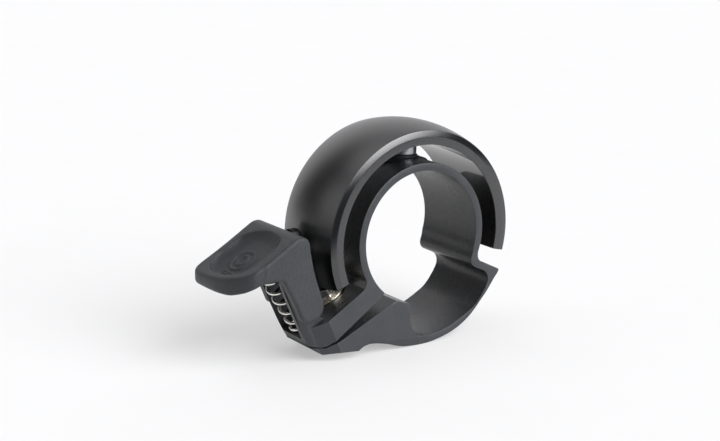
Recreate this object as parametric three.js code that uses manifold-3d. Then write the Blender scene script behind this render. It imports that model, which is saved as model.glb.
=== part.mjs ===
// Ring-type bicycle bell on a hinged-flex handlebar clamp, with a thumb lever.
// Millimetres. Origin: the middle of the underside, where the bell stands on its jaw.
// +Y runs along the handlebar, +Z is up, +X points away from the thumb lever.
// Pieces are drawn from the centre of the handlebar bore; toMesh moves them by BORE_CENTRE.
// Points are [x, z] unless noted. Angles are in degrees from +X towards +Z.

import * as THREE from 'three';
import { mergeVertices } from 'three/addons/utils/BufferGeometryUtils.js';
import Module from 'manifold-3d';

const wasm = await Module();
wasm.setup();

// ---------------------------------------------------------------- shared dimensions
const BORE_R = 11.1;                  // handlebar bore radius: a 22.2 mm bar
const BORE_CENTRE = [8.2457, 18.3483];
const CLAMP_HW = 7.35;                // half width of the clamp along the bar
const BAND_R = 12.4;                  // outer radius of the thin clamp band
const PARTING_Z = -0.362;             // parting in the flexing neck, in bore radii
const NOSE_HW = 5.55;                 // half width of the bracket nose
const SLOT_HW = 3.35;                 // half width of the spring channel
const PIVOT = [-21.75, -3.66];        // lever pin axis
const PIN_R = 0.75;                   // lever pin radius
const PIN_HOLE_Y = -6.7;              // closed end of the pin hole in the lever
const HAMMER_Z = 0.14 * BORE_R;
const GAP = 0.05;                     // seat gap between touching pieces
const WASHER_T = 0.5;
const HEX_SOCKET_R = 1.155;           // across-corners radius of the screw sockets

const Y_AXIS = [0, 1, 0];
const X_AXIS = [1, 0, 0];
const SIDES = [-1, 1];                // the -Y side and the +Y side

// ---------------------------------------------------------------- outlines
const unitVector = (x, y, z) => new THREE.Vector3(x, y, z).normalize();

// outline given in bore radii -> mm
const boreRadii = (points) => points.map(([x, z]) => [x * BORE_R, z * BORE_R]);

function arc(radius, from, to, steps) {
  return Array.from({ length: steps + 1 }, (_, i) => {
    const angle = ((from + (to - from) * i / steps) * Math.PI) / 180;
    return [radius * Math.cos(angle), radius * Math.sin(angle)];
  });
}

// lathe profile [radius, height] of a plain cylinder
const rod = (radius, from, to) => [[0, from], [radius, from], [radius, to], [0, to]];

// ---------------------------------------------------------------- solids
// a closed geometry as a manifold, with its faces turned outwards
function solid(geometry) {
  for (const name of Object.keys(geometry.attributes)) {
    if (name !== 'position') geometry.deleteAttribute(name);
  }
  const merged = mergeVertices(geometry, 1e-5);
  const positions = merged.attributes.position.array;
  const vertex = (index) => new THREE.Vector3().fromArray(positions, 3 * index);
  const triangles = [];
  let volume = 0;
  for (let i = 0; i < merged.index.count; i += 3) {
    const [a, b, c] = merged.index.array.slice(i, i + 3);
    if (a === b || b === c || a === c) continue;
    triangles.push(a, b, c);
    volume += vertex(a).dot(vertex(b).cross(vertex(c)));
  }
  if (volume < 0) {
    for (let i = 0; i < triangles.length; i += 3) {
      [triangles[i], triangles[i + 1]] = [triangles[i + 1], triangles[i]];
    }
  }
  return new wasm.Manifold(new wasm.Mesh({
    numProp: 3,
    vertProperties: Float32Array.from(positions),
    triVerts: Uint32Array.from(triangles),
  }));
}

function extrude(points, depth) {
  const shape = new THREE.Shape(points.map(([x, y]) => new THREE.Vector2(x, y)));
  return new THREE.ExtrudeGeometry(shape, { depth, bevelEnabled: false, curveSegments: 1 });
}

// outline in the XZ plane, extruded along Y
function slab(points, y0, y1) {
  return solid(extrude(points, y1 - y0).rotateX(Math.PI / 2).translate(0, y1, 0));
}

// turns the geometry's own axis `from` to `to`, then moves it to `place`
function aim(geometry, from, to, place) {
  const turn = new THREE.Quaternion().setFromUnitVectors(unitVector(...from), unitVector(...to));
  return solid(geometry.applyQuaternion(turn).translate(...place));
}

// sets the geometry in a frame given by its three axes and its origin
function inFrame(geometry, xAxis, yAxis, zAxis, place) {
  const frame = new THREE.Matrix4().makeBasis(xAxis, yAxis, zAxis);
  return solid(geometry.applyMatrix4(frame).translate(...place));
}

// solid of revolution: profile [radius, height] about the line from `base` along `dir`
function turned(profile, base, dir, segments = 32, twist = 0) {
  const points = profile.map(([radius, height]) => new THREE.Vector2(radius, height));
  const geometry = new THREE.LatheGeometry(points, segments).rotateY(twist);
  return aim(geometry, Y_AXIS, dir, base);
}

const carve = (blank, ...cutters) => cutters.reduce((rest, cutter) => rest.subtract(cutter), blank);

// ---------------------------------------------------------------- axes
// ring post: from the bore centre up through the ring
const POST_ANGLE = 87 * Math.PI / 180;
const POST_DIR = new THREE.Vector3(Math.cos(POST_ANGLE), 0, Math.sin(POST_ANGLE));
const onPost = (radius) => POST_DIR.clone().multiplyScalar(radius);

// clamp screw: distances run down from the arm's top face, out of the jaw
const SCREW_DOWN = unitVector(0.509, 0, -0.861);
const SCREW_UP = SCREW_DOWN.clone().negate();
const ARM_TOP = new THREE.Vector3(-1.303 * BORE_R, 0, -0.803 * BORE_R);
const onScrew = (distance) => ARM_TOP.clone().addScaledVector(SCREW_DOWN, distance);
const SPOT_DEPTH = 0.2;               // spot face under the nut washer
const HEAD_SEAT = 6.6;                // floor of the counterbore in the jaw

// return spring: from its seat towards the lever
const SPRING_DIR = unitVector(-0.515, 0, 0.857);
const SPRING_SEAT = new THREE.Vector3(-1.72 * BORE_R, 0, -1.23 * BORE_R);

// ---------------------------------------------------------------- bell ring
const RING_INNER_R = 15.34;
const RING_FACE_R = 16.66;            // outer radius of the flat side faces
const RING_EDGE_R = 17.68;            // radius where bevel and barrel meet
const RING_CROWN_R = 18.64;           // crown of the barrel
const RING_HW = 7.28;                 // half width
const RING_START = -15.5;             // end on the +X side
const RING_END = 201.6;               // end on the -X side
const BEVEL_W = 0.22;                 // width of the bevel along Y
const BARREL_STEPS = 12;

function makeRing() {
  const rise = RING_CROWN_R - RING_EDGE_R;
  const edgeY = RING_HW - BEVEL_W;
  const barrelR = (edgeY * edgeY + rise * rise) / (2 * rise);
  const barrel = Array.from({ length: BARREL_STEPS + 1 }, (_, i) => {
    const y = edgeY - (2 * edgeY * i) / BARREL_STEPS;
    return [RING_CROWN_R - barrelR + Math.sqrt(barrelR * barrelR - y * y), y];
  });
  const profile = [
    [RING_INNER_R, -RING_HW], [RING_INNER_R, RING_HW], [RING_FACE_R, RING_HW],
    ...barrel,
    [RING_FACE_R, -RING_HW], [RING_INNER_R, -RING_HW],
  ];
  const openSector = [[0, 0], ...arc(40, RING_END, 360 + RING_START, 8)];
  const screwHole = [[0, 0], [1.5, 0], [1.5, 3.8], [0, 4.3]];
  return carve(
    turned(profile, [0, 0, 0], Y_AXIS, 120),
    slab(openSector, -20, 20),
    turned(screwHole, onPost(13.6), POST_DIR, 20),
  );
}

// ---------------------------------------------------------------- cuts shared by body and jaw
// the faces lean in from the full clamp width to the narrower nose
function facetCut(side) {
  const section = [                   // [distance towards the nose, y]
    [0, CLAMP_HW + 0.001], [2.6, NOSE_HW], [40, NOSE_HW], [40, 20], [0, 20],
  ].map(([distance, y]) => [distance, side * y]);
  const edge = unitVector(0.562, 0, -0.827);
  const toNose = new THREE.Vector3(edge.z, 0, -edge.x);
  const yAxis = new THREE.Vector3(...Y_AXIS);
  const normal = new THREE.Vector3().crossVectors(toNose, yAxis);
  const start = [-1.74 * BORE_R, 0, -1.12 * BORE_R];
  return inFrame(extrude(section, 40).translate(0, 0, -20), toNose, yAxis, normal, start);
}

// rounding of the nose's upright corners: [distance down the nose's -X edge, radius]
const CORNER_MINUS_Y = [[-3.4, 1.2], [18.5, 1.2]];
const CORNER_PLUS_Y = [[-3.4, 2.4], [10.0, 3.2], [14.4, 5.0], [18.5, 5.4]];
const CORNER_STEPS = 8;
const NOSE_TIP = [-2.262, -0.42];     // upper end of the -X edge, in bore radii

// lofts the waste outside the rounded corner through the stations
function cornerCut(side, stations) {
  const down = unitVector(0.386, 0, -0.922);
  const inward = new THREE.Vector3(-down.z, 0, down.x);
  const start = new THREE.Vector3(NOSE_TIP[0] * BORE_R, 0, NOSE_TIP[1] * BORE_R);
  const count = CORNER_STEPS + 4;     // points in each section
  const positions = [];
  for (const [distance, radius] of stations) {
    const section = [[-3, NOSE_HW + 3], [-3, NOSE_HW - radius]];   // [depth inward, y]
    for (let i = 0; i <= CORNER_STEPS; i++) {
      const angle = (Math.PI / 2) * (i / CORNER_STEPS);
      section.push([radius - radius * Math.cos(angle), NOSE_HW - radius + radius * Math.sin(angle)]);
    }
    section.push([radius + 4.3, NOSE_HW + 3]);
    for (const [depth, y] of section) {
      const point = start.clone().addScaledVector(down, distance).addScaledVector(inward, depth);
      positions.push(point.x, side * y, point.z);
    }
  }
  const triangles = [];
  for (let k = 0; k + 1 < stations.length; k++) {
    for (let i = 0; i < count; i++) {
      const a = k * count + i;
      const b = k * count + (i + 1) % count;
      triangles.push(a, b, b + count, a, b + count, a + count);
    }
  }
  const last = (stations.length - 1) * count;
  for (let i = 1; i + 1 < count; i++) {
    triangles.push(0, i + 1, i, last, last + i, last + i + 1);
  }
  const geometry = new THREE.BufferGeometry();
  geometry.setAttribute('position', new THREE.Float32BufferAttribute(positions, 3));
  geometry.setIndex(triangles);
  return solid(geometry);
}

const facetCuts = SIDES.map(facetCut);
const cornerCuts = [cornerCut(-1, CORNER_MINUS_Y), cornerCut(1, CORNER_PLUS_Y)];

// ---------------------------------------------------------------- clamp body
// band and arm
const BAND_OUTLINE = [
  ...arc(BORE_R, 227.5, -16.5, 56),
  ...boreRadii([[0.945, PARTING_Z + 0.014], [1.056, PARTING_Z + 0.014], [1.078, -0.31]]),
  ...arc(BAND_R, -13.5, 207.5, 56),
  ...boreRadii([
    [-1.006, -0.585], [-1.022, -0.628], [-1.058, -0.658], [-1.739, -1.061], [-1.79, -1.087],
    [-1.86, -1.105], [-1.93, -1.105], [-1.985, -1.10], [-1.935, -1.21], [-1.895, -1.30],
    [-1.865, -1.372], [-1.858, -1.405], [-1.66, -1.428], [-1.60, -1.396], [-1.556, -1.352],
    [-1.53, -1.338], [-0.69, -0.772],
  ]),
];
// each of the nose's two side walls
const WALL_OUTLINE = boreRadii([
  [-1.60, -1.18], [-1.93, -1.18], [-1.985, -1.10], [-2.05, -0.96], [-2.105, -0.83],
  [-2.16, -0.70], [-2.215, -0.56], NOSE_TIP, [-2.24, -0.35], [-2.08, -0.19],
  [-2.0, -0.165], [-1.93, -0.175], [-1.885, -0.22], [-1.845, -0.45], [-1.765, -0.70],
  [-1.735, -0.86], [-1.66, -1.0], [-1.58, -0.99],
]);
// flared boss under the ring spacer: [radius, height]
const BOSS_BASE = 11.85;
const BOSS_H = 0.95;
const BOSS_PROFILE = [
  [0, 0], [4.5, 0], [3.6, 0.35], [3.05, 0.6], [2.8, 0.8], [2.7, BOSS_H], [0, BOSS_H],
];
const RING_SCREW_HOLE = [[0, -3], [3.2, -3], [3.2, 0.42], [1.62, 1.95], [1.62, 4], [0, 4]];
// spring channel: [distance along the spring axis, distance across it towards +X]
const CHANNEL = [[0, -8], [0, 2.0], [13.5, 2.0], [13.5, -12]];

function makeBody() {
  const channel = CHANNEL.map(([along, across]) => [
    SPRING_SEAT.x + SPRING_DIR.x * along + SPRING_DIR.z * across,
    SPRING_SEAT.z + SPRING_DIR.z * along - SPRING_DIR.x * across,
  ]);
  const blank = carve(slab(BAND_OUTLINE, -CLAMP_HW, CLAMP_HW), ...facetCuts)
    .add(slab(WALL_OUTLINE, -NOSE_HW, -SLOT_HW))
    .add(slab(WALL_OUTLINE, SLOT_HW, NOSE_HW))
    .add(turned(BOSS_PROFILE, onPost(BOSS_BASE), POST_DIR, 32));
  return carve(
    blank,
    slab(channel, -SLOT_HW, SLOT_HW),
    ...cornerCuts,
    turned(rod(1.6, -4, 4), onScrew(1), SCREW_DOWN, 20, 0.11),               // clamp screw hole
    turned(rod(3.85, 0, 4), onScrew(SPOT_DEPTH), SCREW_UP, 40, 0.05),        // spot face
    turned(RING_SCREW_HOLE, onPost(11.0), POST_DIR, 24, 0.07),
    turned(rod(PIN_R + 0.06, -9, 9), [PIVOT[0], 0, PIVOT[1]], Y_AXIS, 20, 0.09),
  );
}

// ---------------------------------------------------------------- clamp jaw
// includes the cable recess
const JAW_OUTLINE = [
  ...boreRadii([
    [-0.462, -0.894], [-1.531, -1.381], [-1.575, -1.408], [-1.65, -1.452], [-1.81, -1.435],
    [-1.812, -1.45], [-1.775, -1.478], [-1.72, -1.515], [-1.66, -1.55], [-1.59, -1.598],
    [-1.52, -1.632], [-1.42, -1.645], [-1.32, -1.64], [-1.22, -1.605], [-1.12, -1.545],
    [-1.03, -1.497], [-0.943, -1.482], [-0.85, -1.488], [-0.744, -1.508], [-0.586, -1.549],
    [-0.466, -1.592], [-0.33, -1.628], [-0.19, -1.645], [0.011, -1.653], [0.178, -1.644],
    [0.32, -1.62], [0.456, -1.589], [0.57, -1.552], [0.678, -1.506], [0.79, -1.444],
    [0.90, -1.367], [1.02, -1.255], [1.122, -1.144], [1.21, -1.05], [1.289, -0.95],
    [1.37, -0.842], [1.452, -0.732], [1.457, -0.712], [1.442, -0.70], [1.136, -0.547],
    [1.092, -0.524], [1.062, -0.49], [1.047, -0.45], [1.046, -0.41],
    [1.052, PARTING_Z - 0.014], [0.943, PARTING_Z - 0.014],
    [0.928, -0.422], [0.915, -0.47], [0.918, -0.525], [0.935, -0.562], [0.963, -0.592],
    [1.02, -0.624], [1.094, -0.658], [1.15, -0.686], [1.192, -0.714], [1.218, -0.745],
    [1.236, -0.783], [1.245, -0.83], [1.238, -0.885], [1.20, -0.965], [1.136, -1.061],
    [1.065, -1.15], [0.983, -1.228], [0.86, -1.302], [0.733, -1.367], [0.60, -1.427],
    [0.456, -1.478], [0.31, -1.510], [0.178, -1.527], [0.053, -1.525], [-0.03, -1.503],
    [-0.10, -1.464], [-0.15, -1.407], [-0.183, -1.339], [-0.202, -1.27], [-0.206, -1.20],
    [-0.197, -1.089], [-0.183, -1.006],
  ]),
  ...arc(BORE_R, 258.8, 244.2, 4),
];

// the jaw's underside leans up to both sides below the nose
function underCut(side) {
  const normal = unitVector(-0.0845, side * 0.3186, -0.944);
  const xAxis = new THREE.Vector3(...X_AXIS).addScaledVector(normal, -normal.x).normalize();
  const yAxis = new THREE.Vector3().crossVectors(normal, xAxis);
  const place = [-1.66 * BORE_R, side * 0.662 * BORE_R, -1.4997 * BORE_R];
  return inFrame(new THREE.BoxGeometry(12, 14, 6).translate(0, 0, 3), xAxis, yAxis, normal, place);
}

function makeJaw() {
  return carve(
    slab(JAW_OUTLINE, -CLAMP_HW, CLAMP_HW),
    ...facetCuts,
    ...cornerCuts,
    ...SIDES.map(underCut),
    turned(rod(2.0, 0, 20), onScrew(2), SCREW_DOWN, 24),
    turned(rod(3.55, 0, 12), onScrew(HEAD_SEAT), SCREW_DOWN, 32),
  );
}

// ---------------------------------------------------------------- clamp screw, washers and nut
function makeScrewWasher() {
  const profile = [[1.6, 0], [3.0, 0], [3.0, WASHER_T], [1.6, WASHER_T], [1.6, 0]];
  return turned(profile, onScrew(HEAD_SEAT + GAP), SCREW_DOWN, 32);
}

function makeClampScrew() {
  const base = onScrew(HEAD_SEAT + GAP + WASHER_T + GAP);
  const profile = [
    [0, -9.0], [1.2, -9.0], [1.48, -8.7], [1.48, 0], [2.75, 0], [2.75, 1.75], [2.5, 2.0], [0, 2.0],
  ];
  return turned(profile, base, SCREW_DOWN, 32)
    .subtract(turned(rod(HEX_SOCKET_R, 0.8, 3), base, SCREW_DOWN, 6));
}

function makeNutWasher() {
  const profile = [
    [1.6, 0], [3.65, 0], [3.7, 0.05], [3.7, 0.45], [3.65, WASHER_T], [1.6, WASHER_T], [1.6, 0],
  ];
  return turned(profile, onScrew(SPOT_DEPTH - GAP), SCREW_UP, 40);
}

function makeNut() {
  const height = 1.9;
  const base = onScrew(SPOT_DEPTH - 2 * GAP - WASHER_T);
  const chamfer = [[0, 0], [2.85, 0], [3.3, 0.28], [3.3, 1.62], [2.85, height], [0, height]];
  return turned(rod(3.175, 0, height), base, SCREW_UP, 6, 0.35)
    .intersect(turned(chamfer, base, SCREW_UP, 32))
    .subtract(turned(rod(1.56, -1, 3), base, SCREW_UP, 20));
}

// ---------------------------------------------------------------- ring spacer and ring screw
function makeSpacer() {
  const profile = [
    [1.6, 0], [2.48, 0], [2.6, 0.12], [2.6, 2.08], [2.48, 2.2], [1.6, 2.2], [1.6, 0],
  ];
  return turned(profile, onPost(BOSS_BASE + BOSS_H + GAP), POST_DIR, 36);
}

function makeRingScrew() {
  const base = onPost(11.3);
  const profile = [[0, 0], [2.75, 0], [2.75, 0.15], [1.42, 1.48], [1.42, 5.6], [1.15, 5.9], [0, 5.9]];
  return turned(profile, base, POST_DIR, 28)
    .subtract(turned(rod(HEX_SOCKET_R, -1, 1.1), base, POST_DIR, 6));
}

// ---------------------------------------------------------------- thumb lever
const CHEEK_IN = 5.88;                // inner face of the cheeks, from the middle
const CHEEK_OUT = 7.26;               // outer face
const LEVER_OUTLINE = boreRadii([
  [-1.906, 0.022], [-1.918, 0.10], [-1.93, 0.19], [-1.955, 0.242], [-2.0, 0.275],
  [-2.06, 0.292], [-2.13, 0.283], [-2.24, 0.225], [-2.40, 0.128], [-2.66, -0.025],
  [-2.86, -0.135], [-3.0, -0.207], [-3.10, -0.255], [-3.16, -0.285], [-3.185, -0.325],
  [-3.185, -0.385], [-3.165, -0.445], [-3.12, -0.485], [-3.06, -0.485], [-2.96, -0.44],
  [-2.83, -0.365], [-2.73, -0.315], [-2.62, -0.30], [-2.46, -0.298], [-2.385, -0.305],
  [-2.29, -0.48], [-2.16, -0.735], [-2.05, -0.955], [-1.995, -1.005], [-1.906, -0.985],
  [-1.85, -0.965], [-1.794, -0.936], [-1.742, -0.893], [-1.714, -0.839], [-1.704, -0.77],
  [-1.711, -0.70], [-1.75, -0.58], [-1.794, -0.45], [-1.833, -0.32], [-1.864, -0.20],
]);
// plan of the thumb pad: [x, y]
const PAD_PLAN = boreRadii([
  [-1.5, -0.7], [-1.5, 0.7], [-2.86, 0.7], [-2.86, 0.66], [-2.98, 0.63], [-3.08, 0.55],
  [-3.14, 0.42], [-3.165, 0.27], [-3.16, 0.10], [-3.125, -0.10], [-3.07, -0.28],
  [-3.0, -0.42], [-2.91, -0.55], [-2.80, -0.63], [-2.68, -0.66], [-2.68, -0.7],
]);
// the cheek on the +Y side is narrower
const CHEEK_TRIM = boreRadii([
  [-2.7, -0.312], [-2.26, -0.312], [-2.19, -0.42], [-2.08, -0.63], [-2.01, -0.77],
  [-1.94, -0.94], [-1.86, -1.11], [-1.86, -1.4], [-2.7, -1.4],
]);
const CAVITY = boreRadii([
  [-1.4, -1.4], [-2.76, -1.4], [-2.76, -0.332], [-2.18, 0.0], [-1.4, -0.02],
]);

// flattened ellipsoid that hollows the thumb face
function thumbDish() {
  const normal = unitVector(-0.49, 0, 0.872);
  const lift = 0.75;                  // centre above the thumb face
  const centre = new THREE.Vector3(-2.61 * BORE_R, 0.35, 0.005 * BORE_R)
    .addScaledVector(normal, lift);
  return aim(new THREE.SphereGeometry(1, 36, 18).scale(5.1, 5.4, 1.5), [0, 0, 1], normal, centre);
}

function makeLever() {
  const blank = slab(LEVER_OUTLINE, -CHEEK_OUT, CHEEK_OUT)
    .intersect(solid(extrude(PAD_PLAN, 40).translate(0, 0, -20)));
  return carve(
    blank,
    slab(CAVITY, -CHEEK_IN, CHEEK_IN),
    slab(CHEEK_TRIM, 3, 20),
    thumbDish(),
    turned(rod(PIN_R + 0.03, PIN_HOLE_Y, 9), [PIVOT[0], 0, PIVOT[1]], Y_AXIS, 20),
    turned(rod(0.85, 0, 5), [-2.13 * BORE_R, 0, HAMMER_Z], X_AXIS, 20),      // hammer hole
  );
}

function makeLeverPin() {
  const length = 13.9;
  const chamfer = 0.15;
  const profile = [
    [0, 0], [PIN_R - chamfer, 0], [PIN_R, chamfer],
    [PIN_R, length - chamfer], [PIN_R - chamfer, length], [0, length],
  ];
  return turned(profile, [PIVOT[0], PIN_HOLE_Y + GAP, PIVOT[1]], Y_AXIS, 20);
}

function makeHammer() {
  const profile = [
    [0, 0], [0.8, 0], [0.8, 2.5], [1.35, 2.5], [1.35, 3.55],
    [1.24, 4.0], [0.98, 4.3], [0.6, 4.47], [0, 4.53],
  ];
  return turned(profile, [-2.125 * BORE_R, 0, HAMMER_Z], X_AXIS, 28);
}

// ---------------------------------------------------------------- return spring
const COIL_R = 1.55;                  // mean coil radius
const WIRE_R = 0.25;
const SPRING_L = 1.298 * BORE_R - 2 * GAP;
const END_TURNS = 0.75;               // closed turns at each end
const TURNS = 6.25 + 2 * END_TURNS;
const END_PITCH = 0.16;               // relative pitch of the closed ends
const BODY_PITCH = 0.96;              // relative pitch of the open body

// relative rise after a number of turns from either end
function rise(turns) {
  if (turns < END_TURNS) return turns * END_PITCH;
  return END_TURNS * END_PITCH + (turns - END_TURNS) * BODY_PITCH;
}

class Coil extends THREE.Curve {
  getPoint(t, out = new THREE.Vector3()) {
    const turn = t * TURNS;
    const angle = 2 * Math.PI * turn;
    const total = rise(TURNS / 2) * 2;
    const risen = turn <= TURNS / 2 ? rise(turn) : total - rise(TURNS - turn);
    const height = WIRE_R + (SPRING_L - 2 * WIRE_R) * (risen / total);
    return out.set(COIL_R * Math.cos(angle), -COIL_R * Math.sin(angle), height);
  }
}

function makeSpring() {
  const wire = new THREE.Shape();
  wire.absarc(0, 0, WIRE_R, 0, 2 * Math.PI, false);
  const geometry = new THREE.ExtrudeGeometry(wire, {
    steps: 150, extrudePath: new Coil(), curveSegments: 4, bevelEnabled: false,
  });
  const foot = SPRING_SEAT.clone().addScaledVector(SPRING_DIR, GAP);
  return aim(geometry, [0, 0, 1], SPRING_DIR, foot);
}

// ---------------------------------------------------------------- finishes and assembly
const SCREW_STEEL = { color: 0x8e8f92, roughness: 0.35, metalness: 1.0 };
const CLAMP_PLASTIC = { color: 0x3d4043, roughness: 0.62, metalness: 0.0 };

function toMesh(name, piece, finish) {
  // builds of manifold-3d without simplify use the piece as it is
  const { vertProperties, triVerts } = (piece.simplify ? piece.simplify(0.01) : piece).getMesh();
  const geometry = new THREE.BufferGeometry();
  geometry.setAttribute('position', new THREE.Float32BufferAttribute(vertProperties, 3));
  geometry.setIndex(new THREE.Uint32BufferAttribute(triVerts, 1));
  geometry.translate(BORE_CENTRE[0], 0, BORE_CENTRE[1]);
  const mesh = new THREE.Mesh(geometry, new THREE.MeshStandardMaterial(finish));
  mesh.name = name;
  return mesh;
}

const bell = new THREE.Group();
bell.name = 'bicycle_bell';
bell.add(
  toMesh('bell_ring', makeRing(), { color: 0x3a3b3e, roughness: 0.32, metalness: 0.9 }),
  toMesh('ring_spacer', makeSpacer(), { color: 0x9a9ca0, roughness: 0.3, metalness: 1.0 }),
  toMesh('ring_screw', makeRingScrew(), SCREW_STEEL),
  toMesh('clamp_body', makeBody(), CLAMP_PLASTIC),
  toMesh('clamp_jaw', makeJaw(), CLAMP_PLASTIC),
  toMesh('clamp_screw', makeClampScrew(), SCREW_STEEL),
  toMesh('clamp_screw_washer', makeScrewWasher(),
    { color: 0xb4b2ab, roughness: 0.35, metalness: 1.0 }),
  toMesh('clamp_nut_washer', makeNutWasher(), { color: 0xc0bba8, roughness: 0.28, metalness: 1.0 }),
  toMesh('clamp_nut', makeNut(), { color: 0xc6c3bb, roughness: 0.25, metalness: 1.0 }),
  toMesh('thumb_lever', makeLever(), { color: 0x3f4246, roughness: 0.68, metalness: 0.0 }),
  toMesh('lever_pin', makeLeverPin(), { color: 0x9c9da0, roughness: 0.3, metalness: 1.0 }),
  toMesh('hammer', makeHammer(), { color: 0x2c2c2e, roughness: 0.4, metalness: 0.9 }),
  toMesh('return_spring', makeSpring(), { color: 0xd8d6d0, roughness: 0.22, metalness: 1.0 }),
);
export default bell;
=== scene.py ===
# Ring-type bicycle bell, built around its CAD frame. The bore that takes the handlebar runs
# along Y, with +Z up. The bell ring arches over the top, the jaw closes the clamp below, and the
# thumb lever and clamp screw are on the -X side. The camera looks from -X and -Y.
# Lengths are millimetres from the bore's centre until they reach a mesh, where they are metres.
import bpy
import bmesh
import math
import numpy as np
from contextlib import contextmanager
from mathutils import Matrix, Vector


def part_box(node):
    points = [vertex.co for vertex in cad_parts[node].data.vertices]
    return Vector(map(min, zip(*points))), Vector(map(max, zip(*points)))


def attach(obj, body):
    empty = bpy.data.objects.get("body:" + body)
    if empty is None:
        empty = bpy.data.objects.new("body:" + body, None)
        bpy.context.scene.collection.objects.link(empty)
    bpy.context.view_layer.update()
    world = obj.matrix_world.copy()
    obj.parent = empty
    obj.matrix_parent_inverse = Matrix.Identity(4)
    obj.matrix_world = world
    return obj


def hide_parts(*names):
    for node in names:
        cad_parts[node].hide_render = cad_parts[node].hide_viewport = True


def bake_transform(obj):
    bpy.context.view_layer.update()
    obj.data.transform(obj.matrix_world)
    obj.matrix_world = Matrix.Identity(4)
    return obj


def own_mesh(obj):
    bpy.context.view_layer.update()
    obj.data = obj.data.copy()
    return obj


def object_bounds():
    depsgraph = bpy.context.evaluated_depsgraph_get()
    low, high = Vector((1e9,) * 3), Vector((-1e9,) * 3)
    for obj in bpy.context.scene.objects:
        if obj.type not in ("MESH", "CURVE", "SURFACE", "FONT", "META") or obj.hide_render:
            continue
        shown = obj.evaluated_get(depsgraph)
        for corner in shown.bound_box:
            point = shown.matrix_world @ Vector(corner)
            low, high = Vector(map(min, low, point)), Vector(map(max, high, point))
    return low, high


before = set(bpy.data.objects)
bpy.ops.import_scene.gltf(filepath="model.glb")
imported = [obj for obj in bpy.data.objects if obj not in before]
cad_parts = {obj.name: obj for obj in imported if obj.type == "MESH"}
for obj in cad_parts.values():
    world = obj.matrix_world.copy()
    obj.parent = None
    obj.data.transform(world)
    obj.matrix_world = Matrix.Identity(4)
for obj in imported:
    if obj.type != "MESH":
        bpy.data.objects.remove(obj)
cad_lo, cad_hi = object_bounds()
MM = 0.001


def unit_vector(*parts):
    return np.array(parts) / np.linalg.norm(parts)


# ------------------------------------------------------------------ dimensions
BORE_R = 11.1                       # also the unit of the outline tables
HALF_W = 7.35                       # half the clamp's width along Y
BAND_R = 12.4
# bell ring section: inner face, inner and outer ends of the side bevel, crown, half width
RING_INNER_R, RING_FLAT_R, RING_EDGE_R, RING_CROWN_R = 15.34, 16.66, 17.68, 18.64
RING_HALF_W = 7.28
RING_START, RING_END = -15.5, 201.6             # degrees, from +X towards +Z
CHEEK_IN, CHEEK_OUT = 5.88, 7.26                # lever cheeks, from the middle plane
NOSE_HALF_W, SLOT_HALF_W = 5.55, 3.35           # bracket walls, from the middle plane
PIVOT = (-21.75, 0, -3.66)
PIN_R = 0.75
SPRING_R, WIRE_R = 1.55, 0.25
SPOT_DEPTH = 0.2                    # nut's spot face in the arm
GAP = 0.05                          # air between stacked pieces
HOLE_R = 1.6                        # clearance for both screws
WASHER_T = 0.5
JAW_SEAT = 6.6                      # counterbore floor, along the clamp screw

SPRING_AXIS = unit_vector(-0.515, 0.0, 0.857)
SPRING_SEAT = np.array([-1.72 * BORE_R, 0.0, -1.23 * BORE_R])
SCREW_AXIS = unit_vector(0.509, 0.0, -0.861)    # from the arm down into the jaw
ARM_TOP = np.array([-1.303 * BORE_R, 0.0, -0.803 * BORE_R])     # where that axis enters the arm
POST_ANGLE = math.radians(87.0)
POST_AXIS = np.array([math.cos(POST_ANGLE), 0.0, math.sin(POST_ANGLE)])
Y_AXIS = np.array([0.0, 1.0, 0.0])

# the frame's own origin is not the bore's centre: the ring's extent gives the shift
ring_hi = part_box("bell_ring")[1]
OFFSET = np.array([ring_hi[0] / MM - RING_CROWN_R, 0.0, ring_hi[2] / MM - RING_CROWN_R])
OFFSET_M = Vector(OFFSET * MM)


# ------------------------------------------------------------------ outlines
def scaled(points):
    """Bore radii to millimetres."""
    return [(x * BORE_R, z * BORE_R) for x, z in points]


def arc(radius, start, end, count):
    angles = [math.radians(start + (end - start) * i / count) for i in range(count + 1)]
    return [(radius * math.cos(a), radius * math.sin(a)) for a in angles]


def turn_between(a, b):
    return math.acos(max(-1, min(1, float(a @ b))))


def fillet(points, radius, corner, special=()):
    """Rounds each corner of a closed outline that turns by `corner` degrees or more.
    special: (x, z, radius) for the corner nearest that point."""
    pts = [np.array(q, float) for q in points]
    count = len(pts)
    radii = [radius] * count
    for sx, sz, own_radius in special:
        nearest = min(range(count), key=lambda i: (pts[i][0] - sx) ** 2 + (pts[i][1] - sz) ** 2)
        radii[nearest] = own_radius
    out = []
    for i in range(count):
        here = pts[i]
        before, after = here - pts[i - 1], pts[(i + 1) % count] - here
        len_before, len_after = np.linalg.norm(before), np.linalg.norm(after)
        if len_before < 1e-9 or len_after < 1e-9:
            continue
        before, after = before / len_before, after / len_after
        turn = turn_between(before, after)
        if math.degrees(turn) < corner or radii[i] <= 0:
            out.append(tuple(here))
            continue
        reach = min(radii[i] * math.tan(turn / 2), 0.42 * len_before, 0.42 * len_after)
        start = here - before * reach
        r = reach / math.tan(turn / 2)
        side = 1.0 if before[0] * after[1] - before[1] * after[0] > 0 else -1.0
        centre = start + side * r * np.array([-before[1], before[0]])
        steps = max(3, int(math.ceil(math.degrees(turn) / 15)))
        angle0 = math.atan2(*(start - centre)[::-1])
        for k in range(steps + 1):
            angle = angle0 + side * turn * k / steps
            out.append((centre[0] + r * math.cos(angle), centre[1] + r * math.sin(angle)))
    return out


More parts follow.
